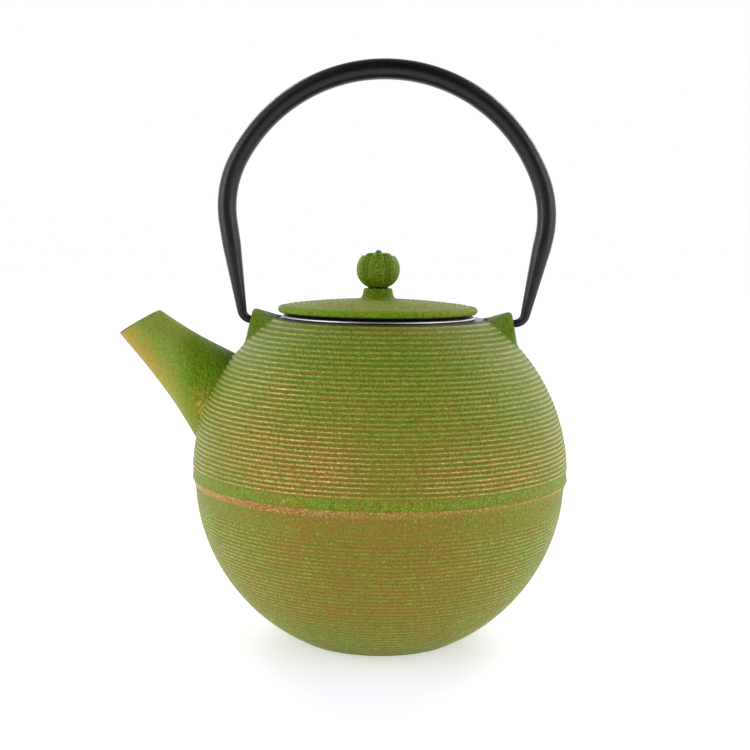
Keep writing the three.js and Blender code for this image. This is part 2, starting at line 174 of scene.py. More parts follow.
# Height, and half width as an angle, of the raised line in each gap and of the groove that it lies in.
KNOB_BEAD = (0.95, 0.055)
KNOB_GROOVE = (1.15, 0.14)
KNOB_SWELL = 0.15
RIVET_HOLE_RADIUS = 1.6
PETAL_RADIUS = 5.2
PETAL_Z = 148.75
PETAL_EDGE_Z = 148.3
PETAL_TOP_Z = 149.8
PETAL_HOLE_RADIUS = 1.35
PETAL_NOTCH = 0.2
PETAL_NOTCH_WIDTH = 0.17
PETAL_RIDGE = 0.22
RIVET_HEAD_RADIUS = 1.33
RIVET_SHANK_RADIUS = 1.3
RIVET_TAIL_RADIUS = 2.6
RIVET_TAIL_HEIGHT = 1.0
RIVET_TAIL_ROUND = 0.6
WASHER_RADIUS = 5.0
WASHER_ROUND = 0.2

# Infuser, about its own axis.
FLANGE_RADIUS = 37.4
FLANGE_Z = 124.7
FLANGE_THICKNESS = 0.7
NECK_RADIUS = 32.2
NECK_WALL = 0.6
NECK_FOOT_Z = 117.5
RING_RADIUS = 32.0
RING_WALL = 0.4
RING_HEIGHT = 5.0
RING_LEDGE = 28.6
SLEEVE_INSET = 0.2
WIRE_PITCH = 1.1
WIRE_RADIUS = 0.16


# ---- meshes

def smoothstep(value, low, high):
    t = np.clip((np.asarray(value, float) - low) / (high - low), 0, 1)
    return t * t * (3 - 2 * t)


def evenly(count):
    """Angles evenly spread over a full turn."""
    return np.arange(count) * 2 * math.pi / count


def arc(centre, radius, start, end, steps):
    """Points of an arc in the plane of a profile, both ends included."""
    angles = np.radians(np.linspace(start, end, steps + 1))
    return [(centre[0] + radius * math.cos(a), centre[1] + radius * math.sin(a)) for a in angles]


def turned(profile, angles):
    """Rows of points about Z, one row for each (radius, height) pair."""
    profile = np.array(profile, float)
    rows = np.empty((len(profile), len(angles), 3))
    rows[:, :, 0] = profile[:, :1] * np.cos(angles)
    rows[:, :, 1] = profile[:, :1] * np.sin(angles)
    rows[:, :, 2] = profile[:, 1:]
    return rows


def grid_faces(rows, columns, loop=False):
    """Faces over rows of points that are closed into rings; loop joins the last row to the first."""
    low = np.arange(rows if loop else rows - 1)
    high = (low + 1) % rows
    left = np.arange(columns)
    right = (left + 1) % columns
    corners = [(low, left), (low, right), (high, right), (high, left)]
    return np.stack([(r[:, None] * columns + c[None, :]).ravel() for r, c in corners], 1)


def placed(name, data):
    """A new object in the scene."""
    thing = bpy.data.objects.new(name, data)
    bpy.context.scene.collection.objects.link(thing)
    return thing


def mesh_object(name, points, faces, shift=0.0):
    """An object from points in millimetres, moved along X by shift."""
    points = (np.asarray(points, float).reshape(-1, 3) + (shift, 0, 0)) * MM
    mesh = bpy.data.meshes.new(name)
    mesh.from_pydata(points.tolist(), [], [list(map(int, face)) for face in faces])
    mesh.update()
    return placed(name, mesh)


def solid(name, grid, shift=0.0):
    """A closed solid: the first and last rows are a single point each."""
    rows, columns = grid.shape[:2]
    inner = grid[1:-1].reshape(-1, 3)
    points = np.vstack([inner, grid[0, :1], grid[-1, :1]])
    foot, top = len(inner), len(inner) + 1
    faces = grid_faces(rows - 2, columns).tolist()
    last = (rows - 3) * columns
    for i in range(columns):
        after = (i + 1) % columns
        faces.append((foot, after, i))
        faces.append((top, last + i, last + after))
    return mesh_object(name, points, faces, shift)


def ring(name, grid, shift=0.0):
    """A closed ring: the last row joins the first."""
    return mesh_object(name, grid, grid_faces(*grid.shape[:2], loop=True), shift)


def combine(thing, tool, operation):
    """Joins or cuts a closed mesh with another one, which is used up."""
    modifier = thing.modifiers.new("combine", "BOOLEAN")
    modifier.operation = operation
    modifier.solver = "MANIFOLD"
    modifier.object = tool
    graph = bpy.context.evaluated_depsgraph_get()
    result = bpy.data.meshes.new_from_object(thing.evaluated_get(graph))
    thing.modifiers.clear()
    thing.data = result
    bpy.data.objects.remove(tool)


def piece(thing, body, node, materials, sharp=40.0):
    """Finishes a mesh: smooth but for edges sharper than so many degrees, with its materials.

    It moves with the body and stands for the node.
    """
    thing.data.shade_smooth()
    thing.data.set_sharp_from_angle(angle=math.radians(sharp))
    thing.data.materials.clear()
    for material in materials:
        thing.data.materials.append(material)
    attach(thing, body)
    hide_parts(node)
    return thing


# ---- pot

def bell(height, crest, pitch):
    """How much of a raised line there is at a height, from 0 between lines to 1 on a crest."""
    across = (np.asarray(height, float) - crest) / pitch
    across = across - np.round(across)
    return np.exp(-((across / RIB_WIDTH) ** 2))


def rib_heights(low, high, crest, pitch):
    """Heights on the pot, or radii on the lid, at which the raised lines need a row of points."""
    first = math.floor((low - crest) / pitch) - 1
    last = math.ceil((high - crest) / pitch) + 1
    heights = [crest + pitch * (k + u) for k in range(first, last + 1) for u in RIB_SAMPLES]
    return [z for z in heights if low < z < high]


def dome_point(z, radius, rise):
    """The profile point at height z on a sphere about the belly, raised along its normal."""
    from_axis = math.sqrt(radius ** 2 - (z - BELLY_Z) ** 2)
    grown = (radius + rise) / radius
    return from_axis * grown, BELLY_Z + (z - BELLY_Z) * grown


def ribbed(heights, radius, rib, fade, crest, pitch):
    """A half sphere's profile at the heights, with raised lines that grow to full height over fade."""
    rises = rib * smoothstep(heights, *fade) * bell(heights, crest, pitch)
    return [dome_point(z, radius, rise) for z, rise in zip(heights, rises)]


def pot_profile():
    """(radius, height) from the base up to the mouth."""
    lower_z = [BASE_CHAMFER] + rib_heights(LOWER_RIBS_END, BAND_FOOT_Z, LOWER_CREST_Z, LOWER_PITCH)
    upper_z = rib_heights(UPPER_RIBS_START, UPPER_RIBS_END, UPPER_CREST_Z, UPPER_PITCH)
    upper_fade = (UPPER_RIBS_START, UPPER_RIBS_START + 1)
    lower = ribbed(lower_z, LOWER_RADIUS, LOWER_RIB, LOWER_RIBS_FADE, LOWER_CREST_Z, LOWER_PITCH)
    upper = ribbed(upper_z, UPPER_RADIUS, UPPER_RIB, upper_fade, UPPER_CREST_Z, UPPER_PITCH)
    base_radius = lower[0][0]
    foot_radius = math.sqrt(LOWER_RADIUS ** 2 - (BAND_FOOT_Z - BELLY_Z) ** 2)
    band = [(foot_radius, BAND_FOOT_Z), (foot_radius + BAND_ROUND, BAND_FOOT_Z + BAND_ROUND)]
    band += [(BAND_TOP_RADIUS - BAND_ROUND, BAND_TOP_Z - 2 * BAND_ROUND)]
    band += arc((BAND_TOP_RADIUS - BAND_ROUND, BAND_TOP_Z), BAND_ROUND, -30, 60, 4)
    margin = [dome_point(z, UPPER_RADIUS, 0.0) for z in np.arange(BAND_TOP_Z + 1, UPPER_RIBS_START, 0.7)]
    rim_radius, rim_z = dome_point(MOUTH_Z - MOUTH_SLOPE_HEIGHT, UPPER_RADIUS, 0.0)
    slope = [(0, 0), (0.25, 0.16), (0.55, 0.5), (0.8, 0.84), (1, 1)]
    rim = [(rim_radius - MOUTH_SLOPE_WIDTH * a, rim_z + MOUTH_SLOPE_HEIGHT * b) for a, b in slope]
    return [(0, 0), (base_radius - BASE_CHAMFER, 0)] + lower + band + margin + upper + rim + [(0, MOUTH_Z)]


def smooth_max(a, b, reach):
    overlap = np.maximum(reach - np.abs(a - b), 0) / reach
    return np.maximum(a, b) + overlap ** 2 * reach / 4


def ear_distance(points, side):
    """How far outside an ear's rounded wedge each point is, negative inside."""
    x, y, z = side * points[..., 0], points[..., 1], points[..., 2]

    def beyond(face, outwards):
        (x0, z0), (x1, z1) = face
        length = math.hypot(x1 - x0, z1 - z0)
        return outwards * ((x - x0) * (z1 - z0) - (z - z0) * (x1 - x0)) / length

    outer = beyond(EAR_OUTER_FACE, -1)
    top = beyond(EAR_TOP_FACE, -1)
    height = x * math.cos(EAR_ANGLE) + (z - BELLY_Z) * math.sin(EAR_ANGLE) - UPPER_RADIUS
    flank = (np.abs(y) - EAR_HALF_WIDTH) * math.cos(EAR_SIDE_SLOPE) + height * math.sin(EAR_SIDE_SLOPE)
    wedge = smooth_max(outer, top, EAR_EDGE_ROUND)
    return smooth_max(wedge, flank, EAR_EDGE_ROUND)


def raise_ears(grid):
    """Pushes the dome's points outwards to the surface of the ears, with a soft fillet."""
    centre = np.array((0, 0, BELLY_Z))
    radius = np.linalg.norm(grid - centre, axis=2)
    outwards = (grid - centre) / np.maximum(radius, 1e-6)[..., None]
    shell = (grid[..., 2] > BELLY_Z + EAR_FROM_RISE) & (radius > UPPER_RADIUS - 2)
    for side in (1, -1):
        near = shell & (side * grid[..., 0] > EAR_FROM_X)
        rays = outwards[near]
        low = np.full(len(rays), UPPER_RADIUS - 1.0)
        high = np.full(len(rays), UPPER_RADIUS + EAR_REACH)
        for _ in range(30):
            middle = (low + high) / 2
            points = centre + rays * middle[:, None]
            outside = -smooth_max(UPPER_RADIUS - middle, -ear_distance(points, side), EAR_BLEND)
            low = np.where(outside < 0, middle, low)
            high = np.where(outside < 0, high, middle)
        rise = high - UPPER_RADIUS
        plain = 1 - smoothstep(rise, 0.05, 0.7)
        lines = radius[near] - UPPER_RADIUS
        lifted = np.where(rise > 0.01, rise + lines * plain, lines)
        grid[near] = centre + rays * (UPPER_RADIUS + lifted)[:, None]
        radius[near] = UPPER_RADIUS + lifted
    return grid


def pot_angles():
    """Angles about Z, closer together where the ears are."""
    ear_half = math.radians(17)
    fine = np.linspace(-ear_half, ear_half, 40)
    coarse = np.linspace(ear_half, math.pi - ear_half, 46)[1:-1]
    return np.concatenate([fine, coarse, fine + math.pi, coarse + math.pi])


def pot_cavity():
    radius = UPPER_RADIUS - WALL
    low = math.degrees(math.asin((FLOOR_THICKNESS - BELLY_Z) / radius))
    high = math.degrees(math.acos(MOUTH_LEDGE_RADIUS / radius))
    hollow = arc((0, BELLY_Z), radius, low, high, 40)
    ledge_z = hollow[-1][1] + MOUTH_LEDGE_RISE
    above = MOUTH_Z + WALL
    profile = [(0, FLOOR_THICKNESS)] + hollow
    profile += [(MOUTH_RADIUS, ledge_z), (MOUTH_RADIUS, above), (0, above)]
    return solid("cavity", turned(profile, evenly(120)))


def spout_path():
    """The spout's middle line: places, directions and distances, from outside the lip inwards."""
    lip, bend, root = (np.array(p) for p in (SPOUT_LIP, SPOUT_BEND, SPOUT_ROOT))
    outside = lip + (lip - bend) / np.linalg.norm(lip - bend) * LIP_OVERRUN
    t = np.linspace(0, 1, 200)[:, None]
    curve = (1 - t) ** 2 * lip + 2 * t * (1 - t) * bend + t ** 2 * root
    return measured(np.vstack([np.linspace(outside, lip, 12)[:-1], curve]))


def measured(points):
    """A path's points with the direction and the distance from its start at each."""
    steps = np.linalg.norm(np.diff(points, axis=0), axis=1)
    distance = np.concatenate([[0], np.cumsum(steps)])
    ahead = np.gradient(points, distance, axis=0)
    ahead /= np.linalg.norm(ahead, axis=1)[:, None]
    return points, ahead, distance


def bent_bar(path, profile, sides, slant=None):
    """Rows of points round a path in the XZ plane, one for each (radius, distance) pair."""
    points, ahead, distance = path
    angles = evenly(sides)
    rows = []
    for radius, along in profile:
        up = radius * np.sin(angles)
        across = radius * np.cos(angles)
        lean = slant(along) if slant else 0.0
        at = np.clip(along + up * lean, 0, distance[-1])
        x, z = (np.interp(at, distance, points[:, k]) for k in (0, 1))
        dx, dz = (np.interp(at, distance, ahead[:, k]) for k in (0, 1))
        rows.append(np.stack([x - dz * up, across, z + dx * up], 1))
    return np.array(rows)


def spout_radius(distance):
    return SPOUT_LIP_RADIUS + SPOUT_FLARE * distance + SPOUT_FLARE_GROWTH * distance ** 2


def channel_radius(distance):
    return spout_radius(distance) - SPOUT_LIP_WALL - SPOUT_WALL_GROWTH * distance


def lip_slant(distance):
    return LIP_SLANT * min(max(1 - (distance - LIP_OVERRUN) / LIP_SLANT_REACH, 0), 1)


def spout_solid():
    path = spout_path()
    length = path[2][-1] - LIP_OVERRUN
    rounded = arc((SPOUT_LIP_RADIUS - LIP_ROUND, LIP_ROUND), LIP_ROUND, -90, 0, 6)
    walls = [(spout_radius(d), d) for d in np.linspace(LIP_ROUND, length, 60)[1:]]
    profile = [(r, d + LIP_OVERRUN) for r, d in [(0, 0)] + rounded + walls + [(0, length)]]
    return solid("spout", bent_bar(path, profile, 88, lip_slant)[:, ::-1])


def channel_solid():
    path = spout_path()
    length = path[2][-1]
    walls = [(channel_radius(max(d - LIP_OVERRUN, 0)), d) for d in np.linspace(0, length, 40)]
    return solid("channel", bent_bar(path, [(0, 0)] + walls + [(0, length)], 64)[:, ::-1])


def hook_hole(side):
    length = ARCH_RADIUS - HOLE_END
    profile = [(0, 0), (HOLE_RADIUS, 0), (HOLE_RADIUS, length), (0, length)]
    grid = turned(profile, evenly(40))
    lying = np.stack([HOLE_END + grid[..., 2], grid[..., 0], grid[..., 1] + HINGE_Z], 2)
    if side < 0:
        lying = lying[:, ::-1] * (-1, 1, 1)
    return solid("hole", lying)


def lined(pot):
    """Marks the faces inside the pot and its spout as the second material."""
    mesh = pot.data
    centres = np.empty(len(mesh.polygons) * 3)
    mesh.polygons.foreach_get("center", centres)
    centres = centres.reshape(-1, 3) / MM
    inside = np.linalg.norm(centres - (0, 0, BELLY_Z), axis=1) < UPPER_RADIUS - WALL / 2
    inside &= centres[:, 2] > FLOOR_THICKNESS - 1
    points, _, distance = spout_path()
    beyond = centres[:, 0] < CHANNEL_FROM_X
    plane = centres[beyond][:, (0, 2)]
    gap = np.linalg.norm(plane[:, None, :] - points[None, ::4, :], axis=2)
    nearest = gap.argmin(1)
    from_path = np.hypot(gap.min(1), centres[beyond][:, 1])
    inner = [channel_radius(max(d - LIP_OVERRUN, 0)) for d in distance[::4]]
    inside[beyond] |= from_path < np.array(inner)[nearest] + CHANNEL_MARGIN
    mesh.polygons.foreach_set("material_index", inside.astype(np.int32))


def make_pot(paint, enamel):
    grid = raise_ears(turned(pot_profile(), pot_angles()))
    pot = solid("cast_pot", grid)
    combine(pot, spout_solid(), "UNION")
    combine(pot, pot_cavity(), "DIFFERENCE")
    combine(pot, channel_solid(), "DIFFERENCE")
    for side in (1, -1):
        combine(pot, hook_hole(side), "DIFFERENCE")
    lined(piece(pot, "pot", "pot_body", (paint, enamel), 50))


# ---- handle

def handle_side(shoulder_angle, leg_lean):
    """One side of the handle's middle line, from the tip of its pin to the top of the arch."""
    shoulder_x = (ARCH_RADIUS - SHOULDER_RADIUS) * math.cos(shoulder_angle)
    shoulder_z = ARCH_Z + (ARCH_RADIUS - SHOULDER_RADIUS) * math.sin(shoulder_angle)
    leg_top_x = shoulder_x + SHOULDER_RADIUS * math.cos(leg_lean)
    leg_top_z = shoulder_z - SHOULDER_RADIUS * math.sin(leg_lean)
    hook_z = HINGE_Z + HOOK_RADIUS
    leg_foot_z = hook_z - HOOK_RADIUS * math.sin(leg_lean)
    leg_foot_x = leg_top_x - (leg_top_z - leg_foot_z) * math.tan(leg_lean)
    hook_x = leg_foot_x - HOOK_RADIUS * math.cos(leg_lean)
    lean, bend = math.degrees(leg_lean), math.degrees(shoulder_angle)
    side = [(PIN_TIP, HINGE_Z)] + arc((hook_x, hook_z), HOOK_RADIUS, -90, -lean, 24)
    side += arc((shoulder_x, shoulder_z), SHOULDER_RADIUS, -lean, bend, 60)
    return np.array(side + arc((0, ARCH_Z), ARCH_RADIUS, bend, 90, 120)[1:])


def handle_path():
    far, near = handle_side(*FAR_SIDE), handle_side(*SPOUT_SIDE)
    return measured(np.vstack([far, near[-2::-1] * (-1, 1)]))


def bar_radius(distance, half):
    if distance < TAPER_END:
        t = min(max((distance - TAPER_START) / (TAPER_END - TAPER_START), 0), 1)
        return PIN_RADIUS + (BAR_SIDE_RADIUS - PIN_RADIUS) * t
    t = (distance - TAPER_END) / (half - TAPER_END)
    return BAR_SIDE_RADIUS + (BAR_TOP_RADIUS - BAR_SIDE_RADIUS) * t


def make_handle(material):
    path = handle_path()
    length = path[2][-1]
    near = arc((PIN_RADIUS - PIN_ROUND, PIN_ROUND), PIN_ROUND, -90, 0, 4)
    stops = [*np.linspace(PIN_ROUND, HOOK_LENGTH, 30)[1:], *np.linspace(HOOK_LENGTH, length / 2, 110)[1:]]
    near += [(bar_radius(d, length / 2), d) for d in stops]
    far = [(radius, length - d) for radius, d in near[-2::-1]]
    grid = bent_bar(path, [(0, 0)] + near + far + [(0, length)], 32)
    bar = solid("bail_bar", grid[:, ::-1], HANDLE_SIDE_PLAY)
    piece(bar, "handle", "bail_handle", (material,))


# ---- lid and knob

def axis_x(node):
    """Where a node's own axis stands along X, in millimetres."""
    low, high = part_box(node)
    return (low.x + high.x) / 2 / MM


def lid_top(radius):
    fall = LID_CROWN_Z - LID_EDGE_TOP_Z
    return LID_CROWN_Z - fall * (radius / LID_DOME_RADIUS) ** 2


def lid_profile():
    skirt_inner = SKIRT_RADIUS - SKIRT_WALL
    edge_half = (LID_EDGE_TOP_Z - LID_FOOT_Z) / 2
    skirt_round = SKIRT_WALL / 2
    under = [(r, lid_top(r) - LID_THICKNESS) for r in np.linspace(RIVET_HOLE_RADIUS, skirt_inner, 14)]
    skirt = arc((SKIRT_RADIUS - skirt_round, SKIRT_FOOT_Z + skirt_round), skirt_round, 180, 360, 12)
    seat = [(SKIRT_RADIUS, SEAT_Z), (SEAT_RADIUS - SEAT_CHAMFER, SEAT_Z)]
    seat += [(SEAT_RADIUS, SEAT_Z + SEAT_CHAMFER), (SEAT_RADIUS, LID_FOOT_Z)]
    edge = arc((LID_RADIUS - edge_half, LID_FOOT_Z + edge_half), edge_half, -90, 82, 16)
    flare_foot = COLLAR_RADIUS + COLLAR_CONE + COLLAR_FLARE
    radii = [LID_DOME_RADIUS - 0.4, LID_DOME_RADIUS - 0.9]
    radii += rib_heights(flare_foot, LID_RIBS[1], LID_RIBS[0], LID_PITCH)[::-1]
    dome = []
    for r in radii:
        inner = smoothstep(r, LID_RIBS[0] - 0.6, LID_RIBS[0] + 0.4)
        outer = smoothstep(r, LID_RIBS[1] - 0.6, LID_RIBS[1])
        rise = LID_RIB * float(inner * (1 - outer) * bell(r, LID_RIBS[0], LID_PITCH))
        dome.append((r, lid_top(r) + rise))
    foot_z = lid_top(flare_foot)
    collar = []
    for t in np.linspace(0, 1, 16):
        z = foot_z + (COLLAR_TOP_Z - COLLAR_ROUND - foot_z) * t
        collar.append((COLLAR_RADIUS + COLLAR_CONE * (1 - t) + COLLAR_FLARE * (1 - t) ** 5, z))
    top = arc((COLLAR_RADIUS - COLLAR_ROUND, COLLAR_TOP_Z - COLLAR_ROUND), COLLAR_ROUND, 0, 90, 5)[1:]
    return under + skirt + seat + edge + dome + collar + top + [(RIVET_HOLE_RADIUS, COLLAR_TOP_Z)]


def make_lid(material):
    lid = ring("cast_lid", turned(lid_profile(), evenly(240)), axis_x("lid"))
    piece(lid, "lid", "lid", (material,), 50)


def lobe_offset(angles):
    """Angle from the nearest gap between two lobes of the knob."""
    step = 2 * math.pi / KNOB_LOBES
    turned_by = (angles - KNOB_TURN) / step - 0.5
    return (turned_by - np.round(turned_by)) * step


def make_knob(material):
    angles = evenly(240)
    from_gap = lobe_offset(angles)
    bead, groove = (
        height * np.exp(-((from_gap / width) ** 2)) for height, width in (KNOB_BEAD, KNOB_GROOVE)
    )
    swell = KNOB_SWELL * (1 - np.abs(from_gap) / from_gap.max()) ** 2
    relief = bead - groove - swell
    low, high = KNOB_BOWL_Z - KNOB_Z, KNOB_TOP_Z - KNOB_Z
    turn = np.linspace(0, math.pi / 2, 18)
    bowl = low + (1 - np.cos(turn)) * KNOB_BOWL_HEIGHT
    heights = np.concatenate([bowl, np.linspace(low + KNOB_BOWL_HEIGHT, high, 40)[1:]])
    foot = [(RIVET_HOLE_RADIUS, KNOB_FOOT_Z), (KNOB_FOOT_RADIUS, KNOB_FOOT_Z)]
    foot += [(KNOB_FOOT_RADIUS, KNOB_BOWL_Z)]
    rows = list(turned(foot, angles))
    for dz in heights:
        share = 1 - min(abs(dz) / KNOB_HALF_HEIGHT, 1) ** KNOB_ROUNDNESS
        radius = KNOB_RADIUS * share ** (1 / KNOB_ROUNDNESS)
        reach = radius + relief * (radius / KNOB_RADIUS) ** 0.7
        height = np.full(len(angles), KNOB_Z + dz)
        rows.append(np.stack([reach * np.cos(angles), reach * np.sin(angles), height], 1))
    rows.append(turned([(RIVET_HOLE_RADIUS, KNOB_TOP_Z)], angles)[0])
    knob = ring("lobed_knob", np.array(rows), axis_x("lid_knob"))
    piece(knob, "lid", "lid_knob", (material,), 60)


def make_petals(material):
    """A shallow cap of six petals whose edge hugs the knob."""
    angles = evenly(216)
    from_gap = np.abs(lobe_offset(angles))
    notch = PETAL_NOTCH * np.exp(-((from_gap / PETAL_NOTCH_WIDTH) ** 2))
    ridge = PETAL_RIDGE * smoothstep(from_gap, 0.08, 0.5)
    top = PETAL_TOP_Z
    shape = [
        (PETAL_HOLE_RADIUS, PETAL_Z, 0), (3.9, PETAL_Z, 0), (PETAL_RADIUS - 0.35, PETAL_EDGE_Z, 0),
        (PETAL_RADIUS, PETAL_EDGE_Z + 0.15, 0.2), (PETAL_RADIUS - 0.05, PETAL_EDGE_Z + 0.5, 0.6),
        (PETAL_RADIUS - 0.4, top - 0.55, 1), (4.0, top - 0.3, 1), (3.0, top - 0.22, 0.8),
        (2.2, top - 0.14, 0.4), (PETAL_HOLE_RADIUS, top - 0.1, 0),
    ]
    rows = []
    for radius, height, carved in shape:
        outwards = (radius - PETAL_HOLE_RADIUS) / (PETAL_RADIUS - PETAL_HOLE_RADIUS)
        reach = radius * (1 - notch * outwards)
        z = height + carved * ridge
        rows.append(np.stack([reach * np.cos(angles), reach * np.sin(angles), z], 1))
    washer = ring("petal_washer", np.array(rows), axis_x("knob_petal_washer"))
    piece(washer, "lid", "knob_petal_washer", (material,), 50)


def make_rivet(material):
    low, high = (corner.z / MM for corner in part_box("knob_rivet"))
    tail_top = low + RIVET_TAIL_HEIGHT
    head = arc((0, high - RIVET_HEAD_RADIUS), RIVET_HEAD_RADIUS, 0, 90, 12)
    tail_edge = (RIVET_TAIL_RADIUS - RIVET_TAIL_ROUND, low + RIVET_TAIL_ROUND)
    profile = [(0, low)] + arc(tail_edge, RIVET_TAIL_ROUND, -90, 0, 6)
    profile += [(RIVET_TAIL_RADIUS, tail_top), (RIVET_SHANK_RADIUS, tail_top)]
    profile += [(RIVET_SHANK_RADIUS, head[0][1])] + head[:-1] + [(0, high)]
    rivet = solid("rivet", turned(profile, evenly(64)), axis_x("knob_rivet"))
    piece(rivet, "lid", "knob_rivet", (material,))


def make_washer(material):
    low, high = (corner.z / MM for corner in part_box("lid_inner_washer"))
    edge = WASHER_RADIUS - WASHER_ROUND
    profile = [(RIVET_HOLE_RADIUS, low)] + arc((edge, low + WASHER_ROUND), WASHER_ROUND, -90, 0, 4)
    profile += arc((edge, high - WASHER_ROUND), WASHER_ROUND, 0, 90, 4) + [(RIVET_HOLE_RADIUS, high)]
    washer = ring("inner_washer", turned(profile, evenly(96)), axis_x("lid_inner_washer"))
    piece(washer, "lid", "lid_inner_washer", (material,))


# ---- infuser

def make_rim(material):
    inner = NECK_RADIUS - NECK_WALL
    middle = FLANGE_Z + FLANGE_THICKNESS / 2
    corner = 0.8
    profile = [(inner, NECK_FOOT_Z), (NECK_RADIUS, NECK_FOOT_Z), (NECK_RADIUS, FLANGE_Z - 0.05)]
    profile += [(NECK_RADIUS + 0.1, FLANGE_Z)]
    profile += arc((FLANGE_RADIUS - FLANGE_THICKNESS / 2, middle), FLANGE_THICKNESS / 2, -90, 90, 10)
    top = FLANGE_Z + FLANGE_THICKNESS
    profile += arc((inner + corner, top - corner), corner, 90, 180, 8)
    rim = ring("infuser_flange", turned(profile, evenly(240)), axis_x("infuser_rim"))
    piece(rim, "infuser", "infuser_rim", (material,))


def wires(name, strands, shift):
    """Thin square-section wires as one mesh. A strand is (points, closed)."""
    corners = ((1, 0), (0, 1), (-1, 0), (0, -1))
    points, faces = [], []
    for line, closed in strands:
        ahead = np.roll(line, -1, 0) - np.roll(line, 1, 0)
        if not closed:
            ahead[0], ahead[-1] = line[1] - line[0], line[-1] - line[-2]
        ahead /= np.linalg.norm(ahead, axis=1)[:, None]
        reference = np.array((0, 0, 1.0)) if abs(ahead[0][2]) < 0.9 else line * (1, 1, 0)
        side = np.cross(ahead, reference)
        side /= np.linalg.norm(side, axis=1)[:, None]
        other = np.cross(side, ahead)
        rows = np.stack([line + WIRE_RADIUS * (a * side + b * other) for a, b in corners], 1)
        start = len(points)
        points.extend(rows.reshape(-1, 3))
        quads = grid_faces(len(line), 4, loop=closed) + start
        faces.extend(quads.tolist())
        if not closed:
            end = start + 4 * (len(line) - 1)
            faces.append((start + 3, start + 2, start + 1, start))
            faces.append((end, end + 1, end + 2, end + 3))
    return mesh_object(name, np.array(points), faces, shift)


def make_sleeve(material):
    """A sleeve of woven wire: each ring passes outside one upright wire and inside the next."""
    low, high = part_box("infuser_sleeve")
    radius = (high.x - low.x) / 2 / MM - SLEEVE_INSET
    foot, top = low.z / MM + WIRE_RADIUS, high.z / MM - WIRE_RADIUS
    uprights = 2 * round(math.pi * radius / WIRE_PITCH)
    hoops = round((top - foot) / WIRE_PITCH)
    angles = evenly(uprights)
    heights = np.linspace(foot, top, hoops)
    strands = []
    for k, z in enumerate(heights):
        reach = radius + WIRE_RADIUS * (-1.0) ** (np.arange(uprights) + k)
        strands.append((np.stack([reach * np.cos(angles), reach * np.sin(angles), z + 0 * angles], 1), True))
    for j, angle in enumerate(angles):
        reach = radius - WIRE_RADIUS * (-1.0) ** (np.arange(hoops) + j)
        strands.append((np.stack([reach * math.cos(angle), reach * math.sin(angle), heights], 1), False))
    sleeve = wires("mesh_sleeve", strands, axis_x("infuser_sleeve"))
    piece(sleeve, "infuser", "infuser_sleeve", (material,), 60)


def make_base_mesh(material):
    low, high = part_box("infuser_base_mesh")
    radius = (high.x - low.x) / 2 / MM
    middle = (low.z + high.z) / 2 / MM
    count = round(2 * radius / WIRE_PITCH)
    lines = (np.arange(count) - (count - 1) / 2) * WIRE_PITCH
    strands = []
    for way in (0, 1):
        for k, across in enumerate(lines):
            reach = math.sqrt(max(radius ** 2 - across ** 2, 0)) - WIRE_RADIUS
            chosen = np.abs(lines) < reach
            if chosen.sum() < 2:
                continue
            sign = (-1.0) ** (np.arange(count) + k + way)
            along, z = lines[chosen], middle + WIRE_RADIUS * sign[chosen] * (0.9 if way else -0.9)
            fixed = np.full(len(along), across)
            order = (along, fixed, z) if way == 0 else (fixed, along, z)
            strands.append((np.stack(order, 1), False))
    base = wires("mesh_base", strands, axis_x("infuser_base_mesh"))
    piece(base, "infuser", "infuser_base_mesh", (material,), 60)


def make_ring(material):
    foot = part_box("infuser_base_ring")[0].z / MM
    inner, web, corner = RING_RADIUS - RING_WALL, foot + RING_WALL, 0.6
    profile = [(RING_LEDGE, foot)] + arc((RING_RADIUS - corner, foot + corner), corner, -90, 0, 6)
    profile += arc(((inner + RING_RADIUS) / 2, foot + RING_HEIGHT - 0.2), RING_WALL / 2, 0, 180, 6)
    profile += [(inner, web + 0.3), (inner - 0.1, web + 0.08), (inner - 0.3, web), (RING_LEDGE, web)]
    band = ring("base_ring", turned(profile, evenly(200)), axis_x("infuser_base_ring"))
    piece(band, "infuser", "infuser_base_ring", (material,))


# ---- materials

